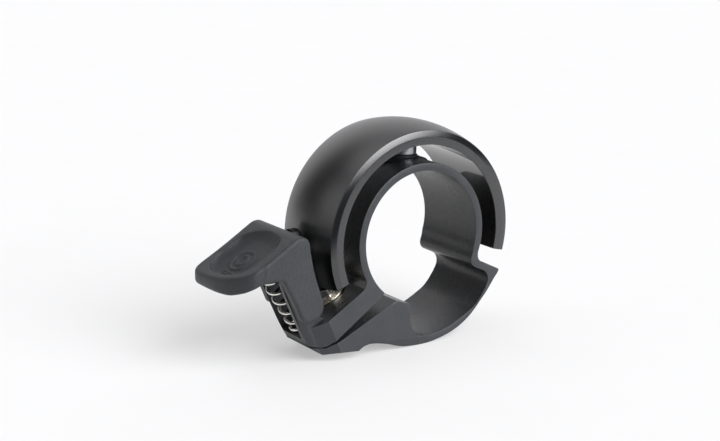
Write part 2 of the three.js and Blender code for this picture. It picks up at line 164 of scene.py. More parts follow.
def round_profile(profile, radius):
    """Rounds the corners of an open [r, h] profile, leaving its ends."""
    if radius <= 0:
        return profile
    pts = [np.array(q, float) for q in profile]
    out = [tuple(pts[0])]
    for last, here, following in zip(pts, pts[1:], pts[2:]):
        before, after = here - last, following - here
        len_before, len_after = np.linalg.norm(before), np.linalg.norm(after)
        before, after = before / len_before, after / len_after
        turn = turn_between(before, after)
        if turn < math.radians(14):
            out.append(tuple(here))
            continue
        reach = min(radius * math.tan(turn / 2), 0.42 * len_before, 0.42 * len_after)
        start, end = here - before * reach, here + after * reach
        for k in range(5):
            f = k / 4
            out.append(tuple((1 - f) ** 2 * start + 2 * f * (1 - f) * here + f ** 2 * end))
    out.append(tuple(pts[-1]))
    return out


def spline(points, step, long=2.6):
    """Closed outline through the points, curved between near points, straight on long edges."""
    pts = np.array(points, float)
    pts = pts[[i for i in range(len(pts)) if np.linalg.norm(pts[i] - pts[i - 1]) > 1e-4]]
    count = len(pts)
    edge = np.roll(pts, -1, 0) - pts
    length = np.linalg.norm(edge, axis=1)
    along = edge / length[:, None]
    tangent = np.zeros_like(pts)
    for i in range(count):
        a, b = (i - 1) % count, i
        if length[a] >= long and length[b] < long:
            t = along[a]
        elif length[b] >= long and length[a] < long:
            t = along[b]
        else:
            t = along[a] * length[b] + along[b] * length[a]
        tangent[i] = t / max(np.linalg.norm(t), 1e-9)
    out = []
    for i in range(count):
        j = (i + 1) % count
        pieces = max(1, int(round(length[i] / step)))
        for k in range(pieces):
            t = k / pieces
            if length[i] >= long:
                q = pts[i] + edge[i] * t
            else:                                       # cubic Hermite
                h00, h10 = 2 * t ** 3 - 3 * t ** 2 + 1, t ** 3 - 2 * t ** 2 + t
                h01, h11 = -2 * t ** 3 + 3 * t ** 2, t ** 3 - t ** 2
                q = (h00 * pts[i] + h10 * length[i] * tangent[i]
                     + h01 * pts[j] + h11 * length[i] * tangent[j])
            out.append((float(q[0]), float(q[1])))
    return out


# ------------------------------------------------------------------ mesh helpers
@contextmanager
def editing(ob):
    bm = bmesh.new()
    bm.from_mesh(ob.data)
    yield bm
    bm.to_mesh(ob.data)
    bm.free()


def shade_smooth(mesh):
    mesh.polygons.foreach_set("use_smooth", [True] * len(mesh.polygons))


def object_in_metres(name, verts, faces):
    mesh = bpy.data.meshes.new(name)
    mesh.from_pydata(verts, [], faces)
    mesh.validate()
    ob = bpy.data.objects.new(name, mesh)
    bpy.context.scene.collection.objects.link(ob)
    shade_smooth(mesh)
    return ob


def new_object(name, verts, faces):
    """Object from millimetre points measured from the bore's centre."""
    placed = [tuple((float(c) + o) * MM for c, o in zip(v, OFFSET)) for v in verts]
    return object_in_metres(name, placed, [tuple(int(i) for i in f) for f in faces])


def fix_normals(ob):
    with editing(ob) as bm:
        bmesh.ops.remove_doubles(bm, verts=bm.verts, dist=1e-7)
        bmesh.ops.recalc_face_normals(bm, faces=bm.faces)
        if bm.calc_volume(signed=True) < 0:
            bmesh.ops.reverse_faces(bm, faces=bm.faces)
    return ob


def bevel(bm, edges, width, segments, clamp_overlap=True):
    bmesh.ops.bevel(bm, geom=edges, offset=width * MM, segments=segments, profile=0.5,
                    affect="EDGES", clamp_overlap=clamp_overlap)


def cap_edges(bm):
    caps = [f for f in bm.faces if len(f.verts) > 4]
    return [e for f in caps for e in f.edges]


def prism_faces(n):
    sides = [(i, i + n, (i + 1) % n + n, (i + 1) % n) for i in range(n)]
    return [tuple(range(n)), tuple(range(2 * n - 1, n - 1, -1))] + sides


def sweep_sides(steps, n):
    """Quads between steps + 1 sections of n points each."""
    return [(s * n + i, s * n + (i + 1) % n, (s + 1) * n + (i + 1) % n, (s + 1) * n + i)
            for s in range(steps) for i in range(n)]


def sweep_faces(steps, n):
    caps = [tuple(range(n)), tuple(range(steps * n + n - 1, steps * n - 1, -1))]
    return sweep_sides(steps, n) + caps


def slab(name, outline, y0, y1, edge=0.0, segments=2):
    """Outline in the XZ plane, extruded along Y, with rounded side edges."""
    verts = [(x, y, z) for y in (y0, y1) for x, z in outline]
    ob = new_object(name, verts, prism_faces(len(outline)))
    with editing(ob) as bm:
        bmesh.ops.recalc_face_normals(bm, faces=bm.faces)
        if edge > 0:
            bevel(bm, cap_edges(bm), edge, segments, clamp_overlap=False)
    return ob


def basis(direction):
    d = np.array(direction, float)
    d /= np.linalg.norm(d)
    helper = Y_AXIS if abs(d[1]) < 0.9 else np.array([1.0, 0.0, 0.0])
    u = np.cross(helper, d)
    u /= np.linalg.norm(u)
    return u, np.cross(d, u), d


def turned(name, profile, base, direction, segments=96, radius=0, closed=False):
    """Solid of revolution of an [r, h] profile about the line from base along direction."""
    u, v, d = basis(direction)
    prof = fillet(profile, radius, 14.0) if closed else round_profile(profile, radius)
    base = np.array(base, float)
    verts, rows = [], []
    for r, h in prof:
        if r < 1e-6:
            rows.append([len(verts)] * segments)
            verts.append(base + d * h)
            continue
        rows.append([len(verts) + k for k in range(segments)])
        for k in range(segments):
            t = 2 * math.pi * k / segments
            verts.append(base + d * h + (u * math.cos(t) + v * math.sin(t)) * r)
    faces = []
    for i in range(len(prof) if closed else len(prof) - 1):
        a, b = rows[i], rows[(i + 1) % len(prof)]
        for k in range(segments):
            j = (k + 1) % segments
            face = tuple(dict.fromkeys((a[k], a[j], b[j], b[k])))   # points on the axis merge
            if len(face) > 2:
                faces.append(face)
    return fix_normals(new_object(name, verts, faces))


def rod(name, r, h0, h1, base, direction, segments=64):
    return turned(name, [(0, h0), (r, h0), (r, h1), (0, h1)], base, direction, segments)


def hexagon(name, across, h0, h1, base, direction, twist=0.0):
    u, v, d = basis(direction)
    r = across / 2 / math.cos(math.pi / 6)
    angles = [twist + k * math.pi / 3 for k in range(6)]
    verts = [np.array(base) + d * h + u * (r * math.cos(a)) + v * (r * math.sin(a))
             for h in (h0, h1) for a in angles]
    return fix_normals(new_object(name, verts, prism_faces(6)))


def cut_caps(ob):
    """Many-sided faces become triangles, which the joins and cuts need."""
    with editing(ob) as bm:
        bmesh.ops.triangulate(bm, faces=[f for f in bm.faces if len(f.verts) > 4],
                              quad_method="BEAUTY", ngon_method="BEAUTY")
    return ob


def boolean(ob, other, operation="DIFFERENCE"):
    mod = ob.modifiers.new("cut", "BOOLEAN")
    mod.operation = operation
    mod.object = other
    mod.solver = "MANIFOLD"
    depsgraph = bpy.context.evaluated_depsgraph_get()
    depsgraph.update()
    made = bpy.data.meshes.new_from_object(ob.evaluated_get(depsgraph))
    ob.modifiers.clear()
    old = ob.data
    ob.data = made
    made.name = old.name + "_cut"
    bpy.data.meshes.remove(old)
    bpy.data.objects.remove(other)


def shade_by_angle(ob, degrees):
    """Smooth shading, with edges sharper than the angle kept hard."""
    limit = math.radians(degrees)
    with editing(ob) as bm:
        for f in bm.faces:
            f.smooth = True
        for e in bm.edges:
            e.smooth = not (len(e.link_faces) == 2 and e.calc_face_angle(0.0) > limit)


def weight_normals(ob):
    mod = ob.modifiers.new("normals", "WEIGHTED_NORMAL")
    mod.keep_sharp = True
    mod.weight = 100


def dress(ob, material):
    ob.data.materials.clear()
    ob.data.materials.append(material)


def declare(ob, body, node):
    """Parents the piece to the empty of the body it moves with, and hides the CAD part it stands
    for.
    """
    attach(ob, body)
    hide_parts(node)


# ------------------------------------------------------------------ signed distances
def polygon_distance(polygon, px, pz):
    """Signed distance to a closed polygon, negative inside."""
    pts = np.array(polygon, float)
    shape = px.shape
    px, pz = px.ravel(), pz.ravel()
    best = np.full(px.shape, 1e18)
    inside = np.zeros(px.shape, bool)
    for a, b in zip(pts, np.roll(pts, -1, 0)):
        ex, ez = b - a
        wx, wz = px - a[0], pz - a[1]
        t = np.clip((wx * ex + wz * ez) / (ex * ex + ez * ez), 0, 1)
        dx, dz = wx - ex * t, wz - ez * t
        best = np.minimum(best, dx * dx + dz * dz)
        cross = ((a[1] <= pz) & (b[1] > pz)) | ((a[1] > pz) & (b[1] <= pz))
        if cross.any():
            with np.errstate(divide="ignore", invalid="ignore"):
                crossing_x = a[0] + (pz - a[1]) * ex / ez
            inside ^= cross & (px < crossing_x)
    distance = np.sqrt(best)
    return np.where(inside, -distance, distance).reshape(shape)


def meet(a, b, r):
    """Intersection of two distances with a rounded edge."""
    return (np.minimum(-r, np.maximum(a, b))
            + np.sqrt(np.maximum(a + r, 0) ** 2 + np.maximum(b + r, 0) ** 2))


def pull(field, points, cell, times):
    """Moves points along the field's gradient onto field == 0."""
    h = 0.02
    for _ in range(times):
        value = field(*points.T)
        slopes = []
        for axis in range(3):
            nudge = np.eye(3)[axis] * h
            slopes.append((field(*(points + nudge).T) - field(*(points - nudge).T)) / (2 * h))
        grad = np.stack(slopes, 1)
        steepness = np.maximum((grad * grad).sum(1), 0.2)
        move = -(value / steepness)[:, None] * grad
        length = np.linalg.norm(move, axis=1, keepdims=True)
        move *= np.minimum(1.0, 0.5 * cell / np.maximum(length, 1e-12))
        points = points + move
    return points


def surface(name, field, lo, hi, cell):
    """Closed quad mesh of field == 0 by surface nets, each point then moved onto the surface."""
    lo, hi = np.array(lo, float), np.array(hi, float)
    n = np.ceil((hi - lo) / cell).astype(int) + 1
    grid = [lo[i] + cell * np.arange(n[i]) for i in range(3)]
    f = np.empty(n, np.float64)
    gx, gz = np.meshgrid(grid[0], grid[2], indexing="ij")
    for j in range(n[1]):                                   # a slice at a time
        f[:, j, :] = field(gx, np.full_like(gx, grid[1][j]), gz)
    solid = f < 0
    corners = [(i, j, k) for i in (0, 1) for j in (0, 1) for k in (0, 1)]
    count = np.zeros(n - 1, int)
    for i, j, k in corners:
        count += solid[i:n[0] - 1 + i, j:n[1] - 1 + j, k:n[2] - 1 + k]
    active = (count > 0) & (count < 8)
    cells = np.argwhere(active)
    index = np.full(active.shape, -1, int)
    index[active] = np.arange(len(cells))

    # one point a cell, at the mean of the places where the surface crosses its edges
    total = np.zeros((len(cells), 3))
    hits = np.zeros(len(cells))
    ci, cj, ck = cells.T
    for axis in range(3):
        for c in [c for c in corners if c[axis] == 0]:
            e = list(c)
            e[axis] = 1
            f0 = f[ci + c[0], cj + c[1], ck + c[2]]
            f1 = f[ci + e[0], cj + e[1], ck + e[2]]
            cut = (f0 < 0) != (f1 < 0)
            place = np.array(c, float)[None, :].repeat(len(cells), 0)
            place[:, axis] += np.where(cut, f0 / np.where(cut, f0 - f1, 1), 0)
            total += place * cut[:, None]
            hits += cut
    points = lo + (cells + total / np.maximum(hits, 1)[:, None]) * cell

    # one quad for each grid edge that the surface crosses
    quads = []
    for a in range(3):
        b, c = (a + 1) % 3, (a + 2) % 3
        near, far = [slice(None)] * 3, [slice(None)] * 3
        near[a], far[a] = slice(0, -1), slice(1, None)
        idx = np.argwhere(solid[tuple(near)] != solid[tuple(far)])
        ok = (idx[:, b] > 0) & (idx[:, c] > 0) & (idx[:, b] < n[b] - 1) & (idx[:, c] < n[c] - 1)
        idx = idx[ok]
        quad = []
        for db, dc in ((-1, -1), (0, -1), (0, 0), (-1, 0)):
            q = idx.copy()
            q[:, b] += db
            q[:, c] += dc
            quad.append(index[q[:, 0], q[:, 1], q[:, 2]])
        quad = np.stack(quad, 1)
        outward = solid[idx[:, 0], idx[:, 1], idx[:, 2]]
        quad[~outward] = quad[~outward][:, ::-1]
        quads.append(quad)
    quads = np.concatenate(quads)

    # even out the net, pulling it back to the surface each time
    edges = np.concatenate([quads[:, [k, (k + 1) % 4]] for k in range(4)])
    points = pull(field, points, cell, 3)
    for _ in range(2):
        around, neighbours = np.zeros_like(points), np.zeros(len(points))
        for a, b in ((0, 1), (1, 0)):
            np.add.at(around, edges[:, a], points[edges[:, b]])
            np.add.at(neighbours, edges[:, a], 1)
        points = pull(field, points * 0.5 + 0.5 * around / neighbours[:, None], cell, 2)
    ob = fix_normals(new_object(name, points, quads))
    shade_smooth(ob.data)
    return ob


# ------------------------------------------------------------------ node networks
class Net:
    """A small writer of node trees. Values may be numbers, tuples or sockets."""

    def __init__(self, tree):
        self.tree = tree
        tree.nodes.clear()

    def put(self, socket, value):
        if isinstance(value, bpy.types.NodeSocket):
            self.tree.links.new(value, socket)
        elif value is not None:
            socket.default_value = value

    def node(self, kind, inputs=(), **props):
        made = self.tree.nodes.new(kind)
        for key, value in props.items():
            setattr(made, key, value)
        for key, value in inputs.items() if isinstance(inputs, dict) else enumerate(inputs):
            self.put(made.inputs[key], value)
        return made

    def math(self, operation, a, b=None):
        return self.node("ShaderNodeMath", (a, b), operation=operation).outputs[0]

    def add(self, a, b):
        return self.math("ADD", a, b)

    def sub(self, a, b):
        return self.math("SUBTRACT", a, b)

    def mul(self, a, b):
        return self.math("MULTIPLY", a, b)

    def swing(self, noise, amount):
        """A noise turned into a change of up to half the amount either way."""
        return self.mul(self.sub(noise, 0.5), amount)

    def vec(self, operation, a, b=None):
        return self.node("ShaderNodeVectorMath", (a, b), operation=operation).outputs[0]

    def dot(self, a, b):
        return self.node("ShaderNodeVectorMath", (a, b), operation="DOT_PRODUCT").outputs["Value"]

    def xyz(self, x, y, z):
        return self.node("ShaderNodeCombineXYZ", (x, y, z)).outputs[0]

    def split(self, vector):
        return self.node("ShaderNodeSeparateXYZ", (vector,)).outputs

    def noise(self, vector, scale, detail=2.0, rough=0.5):
        inputs = {"Vector": vector, "Scale": scale, "Detail": detail, "Roughness": rough}
        return self.node("ShaderNodeTexNoise", inputs).outputs["Fac"]

    def ramp(self, value, lo, hi, to=(0.0, 1.0), **props):
        return self.node("ShaderNodeMapRange", (value, lo, hi, *to), **props).outputs[0]

    def mix(self, factor, a, b):
        inputs = {"Factor": factor, 6: a, 7: b}             # 6 and 7 are the colour inputs
        return self.node("ShaderNodeMix", inputs, data_type="RGBA").outputs[2]

    def bump(self, height, strength, distance, normal=None):
        inputs = {"Height": height, "Strength": strength, "Distance": distance, "Normal": normal}
        return self.node("ShaderNodeBump", inputs).outputs[0]

    def geometry(self, output="Normal"):
        return self.node("ShaderNodeNewGeometry").outputs[output]

    def raw_position(self):
        return self.node("ShaderNodeTexCoord").outputs["Object"]

    def position(self):
        """Object position in millimetres from the bore's centre."""
        millimetres = self.vec("MULTIPLY", self.raw_position(), (1000.0, 1000.0, 1000.0))
        return self.vec("SUBTRACT", millimetres, tuple(OFFSET))


class MaterialNet(Net):
    def __init__(self, name):
        self.material = bpy.data.materials.new(name)
        self.material.use_nodes = True
        super().__init__(self.material.node_tree)
        output = self.node("ShaderNodeOutputMaterial")
        self.bsdf = self.node("ShaderNodeBsdfPrincipled")
        self.put(output.inputs[0], self.bsdf.outputs[0])

    def finish(self, inputs):
        for key, value in inputs.items():
            self.put(self.bsdf.inputs[key], value)
        return self.material


def rgb(r, g, b):
    return (r, g, b, 1.0)


def tinted(base, *factors):
    """The base colour times one factor, or one for each channel."""
    factors = factors * 3 if len(factors) == 1 else factors
    return rgb(*[c * f for c, f in zip(base, factors)])


# ------------------------------------------------------------------ materials
def edge_wear(net, width):
    """1 on convex edges, for slight rubbing. The width is in millimetres."""
    rounded = net.node("ShaderNodeBevel", {"Radius": width * MM}, samples=4).outputs[0]
    return net.ramp(net.dot(rounded, net.geometry("True Normal")), lo=0.995, hi=0.86)


def nylon(name, base, rough, grain, pitting, bore=False):
    """Charcoal moulded nylon: soft tone variation and fine grain, `pitting` being how dark the
    pits are. With bore, the faces that are not side faces get a smoother, darker skin."""
    net = MaterialNet(name)
    p = net.position()
    broad = net.noise(p, scale=0.22, detail=3.0, rough=0.55)
    mid = net.noise(p, scale=1.7, detail=4.0, rough=0.6)
    grit = net.noise(p, scale=3.0, rough=0.8)
    fine = net.noise(p, scale=9.0, detail=3.0, rough=0.7)
    speck = net.noise(p, scale=26.0, detail=1.0)

    # colour: tone from three sizes of noise, then dark pits, then paler rubbed edges
    tone = net.add(net.mul(broad, 0.5), net.add(net.mul(mid, 0.3), net.mul(fine, 0.2)))
    colour = net.mix(net.ramp(tone, lo=0.36, hi=0.64), tinted(base, 0.80), tinted(base, 1.22))
    pits = net.mul(net.ramp(grit, lo=0.40, hi=0.60, to=(1.0, 0.0)), pitting)
    colour = net.mix(pits, colour, tinted(base, 0.45))
    wear = net.mul(edge_wear(net, width=0.25), net.ramp(mid, lo=0.35, hi=0.65, to=(0.25, 1.0)))
    colour = net.mix(net.mul(wear, 0.35), colour, tinted(base, 2.2, 2.25, 2.35))

    height = net.add(net.mul(fine, 0.6 * grain), net.mul(speck, 0.4 * grain))
    height = net.add(height, net.mul(grit, 0.5 * grain))
    roughness = net.add(rough, net.swing(mid, amount=0.16))
    normal = net.bump(height, strength=0.55, distance=0.00006)

    if bore:
        x, y, z = net.split(p)
        angle = net.math("ARCTAN2", z, x)
        side = net.math("ABSOLUTE", net.split(net.geometry())[1])
        skin = net.ramp(side, lo=0.5, hi=0.2)
        # drag marks: short arcs round the bore
        around = net.xyz(net.mul(angle, 1.3), net.mul(y, 4.5), 0.0)
        marks = net.noise(around, scale=1.6, detail=4.0, rough=0.6)
        # the skin is smoother, and uneven with the marks
        polished = net.add(net.sub(roughness, 0.10), net.swing(marks, amount=0.14))
        roughness = net.add(net.mul(roughness, net.sub(1.0, skin)), net.mul(polished, skin))
        marks = net.mul(marks, net.ramp(x, lo=-10.5, hi=-8.5))      # not on arm and bracket
        normal = net.bump(net.mul(marks, skin), strength=0.16, distance=0.00003, normal=normal)
        skin_colour = net.mix(net.ramp(marks, lo=0.36, hi=0.70),
                              tinted(base, 0.26), tinted(base, 0.62))
        colour = net.mix(net.mul(skin, 0.80), colour, skin_colour)
    return net.finish({"Base Color": colour, "Roughness": roughness, "Normal": normal,
                       "Specular IOR Level": 0.5, "Metallic": 0.0})


def ring_metal():
    """Black anodised aluminium, turned: fine lines round the ring, satin outside, near
    polished inside."""
    net = MaterialNet("ring_anodised")
    p = net.position()
    x, y, z = net.split(p)
    radius = net.math("SQRT", net.add(net.mul(x, x), net.mul(z, z)))
    angle = net.math("ARCTAN2", z, x)
    normal = net.geometry()

    # masks
    radial = net.vec("MULTIPLY", p, (1.0, 0.0, 1.0))
    inside = net.ramp(net.dot(normal, radial), lo=-2.0, hi=-8.0)    # the bore side of the ring
    sideways = net.math("ABSOLUTE", net.split(normal)[1])
    side = net.ramp(sideways, lo=0.90, hi=0.965)            # the bevels and the flat side faces
    flat = net.ramp(sideways, lo=0.986, hi=0.996)           # the flat side faces alone
    # painted shade and painted dark reflection: the outer surface low on the lever side, under the
    # lever's back
    low = net.mul(net.ramp(z, lo=2.4, hi=-0.6),
                  net.mul(net.ramp(x, lo=-6.0, hi=-9.0), net.sub(1.0, side)))

    # turning lines, stretched round the ring
    fine_at = net.xyz(net.mul(angle, 0.9), net.mul(y, 7.0), net.mul(radius, 7.0))
    fine = net.noise(fine_at, scale=3.0, detail=5.0, rough=0.75)
    wide_at = net.xyz(net.mul(angle, 0.5), net.mul(y, 1.4), net.mul(radius, 1.4))
    wide = net.noise(wide_at, scale=1.5, detail=3.0, rough=0.6)
    cloud = net.noise(p, scale=0.18)

    colour = net.mix(net.ramp(fine, lo=0.3, hi=0.7),
                     rgb(0.0045, 0.0048, 0.0056), rgb(0.0105, 0.011, 0.0125))
    colour = net.mix(net.mul(flat, 0.8), colour, rgb(0.016, 0.0168, 0.0185))
    colour = net.mix(net.mul(inside, 0.8), colour, rgb(0.006, 0.006, 0.0065))
    colour = net.mix(net.mul(edge_wear(net, width=0.12), 0.14), colour, rgb(0.20, 0.205, 0.21))
    # painted shade: near black on the outer surface low on the lever side
    colour = net.mix(low, colour, rgb(0.003, 0.0035, 0.004))

    # 0.30 outside, less on the bevels, 0.045 inside
    rough = net.add(0.30, net.swing(fine, amount=0.14))
    rough = net.add(rough, net.swing(cloud, amount=0.08))
    rough = net.sub(rough, net.mul(side, 0.17))
    rough = net.add(rough, net.mul(flat, 0.14))
    rough = net.add(net.mul(rough, net.sub(1.0, inside)), net.mul(inside, 0.045))

    lines = net.add(net.mul(fine, 0.8), net.mul(wide, 0.2))
    bump = net.bump(lines, strength=net.sub(0.6, net.mul(inside, 0.57)), distance=0.000012)
    tangent = net.vec("NORMALIZE", net.vec("CROSS_PRODUCT", (0.0, 1.0, 0.0), radial))
    # stretched highlights on the outer face only
    stretch = net.sub(0.72, net.mul(net.math("MAXIMUM", side, inside), 0.72))
    # less specular where the painted shade lies low on the lever side, a painted dark reflection
    return net.finish({"Base Color": colour, "Roughness": rough, "Normal": bump,
                       "Specular IOR Level": net.sub(0.76, net.mul(low, 0.66)),
                       "Metallic": 0.0, "IOR": 1.6, "Anisotropic": stretch, "Tangent": tangent})


def painted_channel_shade(net, colour):
    """Painted shade: the colour goes dark on the half of the coil that lies deep in the channel.
    """
    out_of_channel = np.array([SPRING_AXIS[2], 0, -SPRING_AXIS[0]])
    from_seat = net.vec("SUBTRACT", net.raw_position(), tuple((SPRING_SEAT + OFFSET) * MM))
    depth = net.dot(from_seat, tuple(out_of_channel * 1000.0))
    return net.mix(net.ramp(depth, lo=-0.75, hi=0.1), colour, rgb(0.03, 0.03, 0.03))


def steel(name, base, rough, tint=None, shade_in_channel=False):
    """Plated steel with handling marks and a little tarnish, of colour `tint`, in patches."""
    net = MaterialNet(name)
    p = net.position()
    marks = net.noise(net.vec("MULTIPLY", p, (1.0, 3.0, 1.0)), scale=6.0, detail=5.0, rough=0.7)
    patch = net.noise(p, scale=0.9)
    tarnish = rgb(*tint) if tint else tinted(base, 0.75)
    amount = net.add(net.mul(marks, 0.5), net.mul(patch, 0.5))
    colour = net.mix(net.ramp(amount, lo=0.40, hi=0.62), rgb(*base), tarnish)
    roughness = net.add(rough, net.swing(marks, amount=0.20))
    normal = net.bump(marks, strength=0.25, distance=0.00001)
    # painted shade: the coil's colour darkens on its half deep in the channel
    if shade_in_channel:
        colour = painted_channel_shade(net, colour)
    return net.finish({"Base Color": colour, "Roughness": roughness, "Normal": normal,
                       "Metallic": 1.0})


CLAMP_NYLON = nylon("clamp_nylon", base=(0.030, 0.0325, 0.0365), rough=0.40, grain=0.9,
                    pitting=0.15, bore=True)
LEVER_NYLON = nylon("lever_nylon", base=(0.029, 0.0315, 0.0355), rough=0.46, grain=2.6,
                    pitting=0.55)
RING_METAL = ring_metal()
steel("bright_plate", base=(0.86, 0.83, 0.77), rough=0.20)          # spare, on no piece
# the spring's coil gets painted shade on its half deep in the channel
COIL = steel("spring_plate", base=(0.90, 0.88, 0.83), rough=0.20, shade_in_channel=True)
BRASSY = steel("yellow_passivate", base=(0.90, 0.82, 0.66), rough=0.22, tint=(0.92, 0.88, 0.80))
NUT_ZINC = steel("nut_zinc", base=(0.93, 0.92, 0.90), rough=0.20, tint=(0.88, 0.84, 0.76))
SCREW_ZINC = steel("screw_zinc", base=(0.55, 0.55, 0.56), rough=0.34)
SPACER_GREY = steel("spacer_grey", base=(0.62, 0.63, 0.66), rough=0.34)
BLACK_OXIDE = steel("black_oxide", base=(0.045, 0.043, 0.042), rough=0.38)


# ------------------------------------------------------------------ bell ring
def build_ring():
    sag = RING_CROWN_R - RING_EDGE_R
    edge_y = RING_HALF_W - 0.22
    crown = (edge_y ** 2 + sag ** 2) / (2 * sag)            # radius of the crowned outer face
    profile = [(RING_INNER_R, -RING_HALF_W), (RING_FLAT_R, -RING_HALF_W)]
    for i in range(33):
        y = -edge_y + 2 * edge_y * i / 32
        profile.append((RING_CROWN_R - crown + math.sqrt(crown ** 2 - y ** 2), y))
    profile += [(RING_FLAT_R, RING_HALF_W), (RING_INNER_R, RING_HALF_W)]
    profile = fillet(profile, 0.12, 8.0)
    steps = 260
    verts = []
    for s in range(steps + 1):
        t = math.radians(RING_START + (RING_END - RING_START) * s / steps)
        verts += [(r * math.cos(t), y, r * math.sin(t)) for r, y in profile]
    ob = new_object("bell_ring_body", verts, sweep_faces(steps, len(profile)))
    with editing(ob) as bm:
        bmesh.ops.recalc_face_normals(bm, faces=bm.faces)
        bevel(bm, cap_edges(bm), 0.14, 3)
    shade_by_angle(ob, 35)
    weight_normals(ob)
    return ob


ring = build_ring()
dress(ring, RING_METAL)
declare(ring, "clamp", "bell_ring")

# ------------------------------------------------------------------ clamp: one moulding
# Outlines are (x, z) in bore radii. The clamp's runs round the bore, along the jaw's upper side
# and the slit, back along the jaw's outside, over the band, and round the arm.
ARM_OUTLINE = [
    (-1.006, -0.585), (-1.022, -0.628), (-1.058, -0.658), (-1.739, -1.061), (-1.79, -1.087),
    (-1.86, -1.105), (-1.93, -1.105), (-1.985, -1.10), (-1.935, -1.21), (-1.895, -1.30),
    (-1.865, -1.372), (-1.858, -1.405), (-1.66, -1.428), (-1.60, -1.396), (-1.556, -1.352),
    (-1.53, -1.338), (-0.69, -0.772)]
JAW_LOWER = [
    (-0.462, -0.894), (-1.531, -1.381), (-1.575, -1.408), (-1.65, -1.452), (-1.81, -1.435),
    (-1.812, -1.45), (-1.775, -1.478), (-1.72, -1.515), (-1.66, -1.55), (-1.59, -1.598),
    (-1.52, -1.632), (-1.42, -1.645), (-1.32, -1.64), (-1.22, -1.605), (-1.12, -1.545),
    (-1.03, -1.497), (-0.943, -1.482), (-0.85, -1.488), (-0.744, -1.508), (-0.586, -1.549),
    (-0.466, -1.592), (-0.33, -1.628), (-0.19, -1.645), (0.011, -1.653), (0.178, -1.644),
    (0.32, -1.62), (0.456, -1.589), (0.57, -1.552), (0.678, -1.506), (0.79, -1.444),
    (0.90, -1.367), (1.02, -1.255), (1.122, -1.144), (1.21, -1.05), (1.289, -0.95),
    (1.37, -0.842), (1.452, -0.732), (1.457, -0.712), (1.442, -0.70), (1.136, -0.547),
    (1.092, -0.524), (1.062, -0.49), (1.047, -0.45), (1.046, -0.41), (1.052, -0.37),
    (1.065, -0.335)]
JAW_UPPER = [
    (0.943, -0.376), (0.928, -0.422), (0.915, -0.47), (0.918, -0.525), (0.935, -0.562),
    (0.963, -0.592), (1.02, -0.624), (1.094, -0.658), (1.15, -0.686), (1.192, -0.714),
    (1.218, -0.745), (1.236, -0.783), (1.245, -0.83), (1.238, -0.885), (1.20, -0.965),
    (1.136, -1.061), (1.065, -1.15), (0.983, -1.228), (0.86, -1.302), (0.733, -1.367),
    (0.60, -1.427), (0.456, -1.478), (0.31, -1.510), (0.178, -1.527), (0.053, -1.525),
    (-0.03, -1.503), (-0.10, -1.464), (-0.15, -1.407), (-0.183, -1.339), (-0.202, -1.27),
    (-0.206, -1.20), (-0.197, -1.089), (-0.183, -1.006)]
WALL_OUTLINE = [
    (-1.60, -1.18), (-1.93, -1.18), (-1.985, -1.10), (-2.05, -0.96), (-2.105, -0.83),
    (-2.16, -0.70), (-2.215, -0.56), (-2.262, -0.42), (-2.24, -0.35), (-2.08, -0.19),
    (-2.0, -0.165), (-1.93, -0.175), (-1.885, -0.22), (-1.845, -0.45), (-1.765, -0.70),
    (-1.735, -0.86), (-1.66, -1.0), (-1.58, -0.99)]
WALL_SHARP = [(-1.93, -1.18), (-1.985, -1.10), (-1.60, -1.18), (-1.58, -0.99)]  # left unrounded

clamp_outline = (arc(BORE_R, 227.5, -16.5, 60) + scaled(JAW_UPPER)
                 + arc(BORE_R, 258.8, 244.2, 5)[1:] + scaled(JAW_LOWER)
                 + arc(BAND_R, -13.5, 207.5, 56) + scaled(ARM_OUTLINE))
clamp_outline = fillet(clamp_outline, 0.20, 24.0,
                       special=[(-1.985 * BORE_R, -1.10 * BORE_R, 0.55)])
clamp_outline = spline(clamp_outline, 0.3)
wall_outline = fillet(scaled(WALL_OUTLINE), 0.3, 30.0,
                      special=[(x, z, 0.0) for x, z in scaled(WALL_SHARP)])
wall_outline = spline(wall_outline, 0.3)

# line in XZ beyond which the clamp's sides lean in to the nose, and how far that takes
FACET_POINT = np.array([-1.74 * BORE_R, -1.12 * BORE_R])
FACET_ALONG = unit_vector(0.562, -0.827)
FACET_NORMAL = np.array([FACET_ALONG[1], -FACET_ALONG[0]])     # away from the bore
FACET_RUN = 2.6
BOSS_BASE, BOSS_H = 11.85, 0.95                         # along the post

# nose corners by side in Y: (distance down the nose's outer edge, corner radius)
NOSE_CORNERS = {-1: ((-3.4, 1.2), (18.5, 1.2)),
                1: ((-3.4, 2.4), (10.0, 3.2), (14.4, 5.0), (18.5, 5.4))}
# line between arm and jaw, (x, z) in bore radii: the slit's middle, then through the neck
PARTING = [(-1.835, -1.42), (-1.655, -1.44), (-1.587, -1.402), (-1.531, -1.3595),
           (-0.58, -0.835), (-0.30, -0.60), (0.85, -0.375)]
# the jaw hinges in the neck
NECK_X = 0.8 * BORE_R
NECK_TOP_Z, NECK_DROP = -3.3, 1.7


def half_width(beyond):
    beyond = max(0.0, beyond)
    return HALF_W - (HALF_W - NOSE_HALF_W) * min(1.0, beyond / FACET_RUN)


def soft_half_width(beyond):
    """Half width averaged over a short span, which rounds the two bends."""
    reach = 0.35 if beyond > 1.6 else 0.12
    return sum(half_width(beyond - reach + 2 * reach * k / 8) for k in range(9)) / 9


def facet_narrow(ob):
    """The sides lean in from the clamp's full width to the narrower nose."""
    normal = Vector((FACET_NORMAL[0], 0, FACET_NORMAL[1]))
    base = Vector((FACET_POINT[0] * MM, 0, FACET_POINT[1] * MM)) + OFFSET_M
    with editing(ob) as bm:
        for beyond in (-0.16, 0.0, 0.16, 2.2, 2.6, 3.0):
            bmesh.ops.bisect_plane(bm, geom=bm.verts[:] + bm.edges[:] + bm.faces[:],
                                   plane_co=base + normal * (beyond * MM), plane_no=normal,
                                   dist=1e-8)
        for v in bm.verts:
            beyond = ((v.co.x - base.x) * normal.x + (v.co.z - base.z) * normal.z) / MM
            if beyond > -0.3:
                v.co.y *= soft_half_width(beyond) / HALF_W


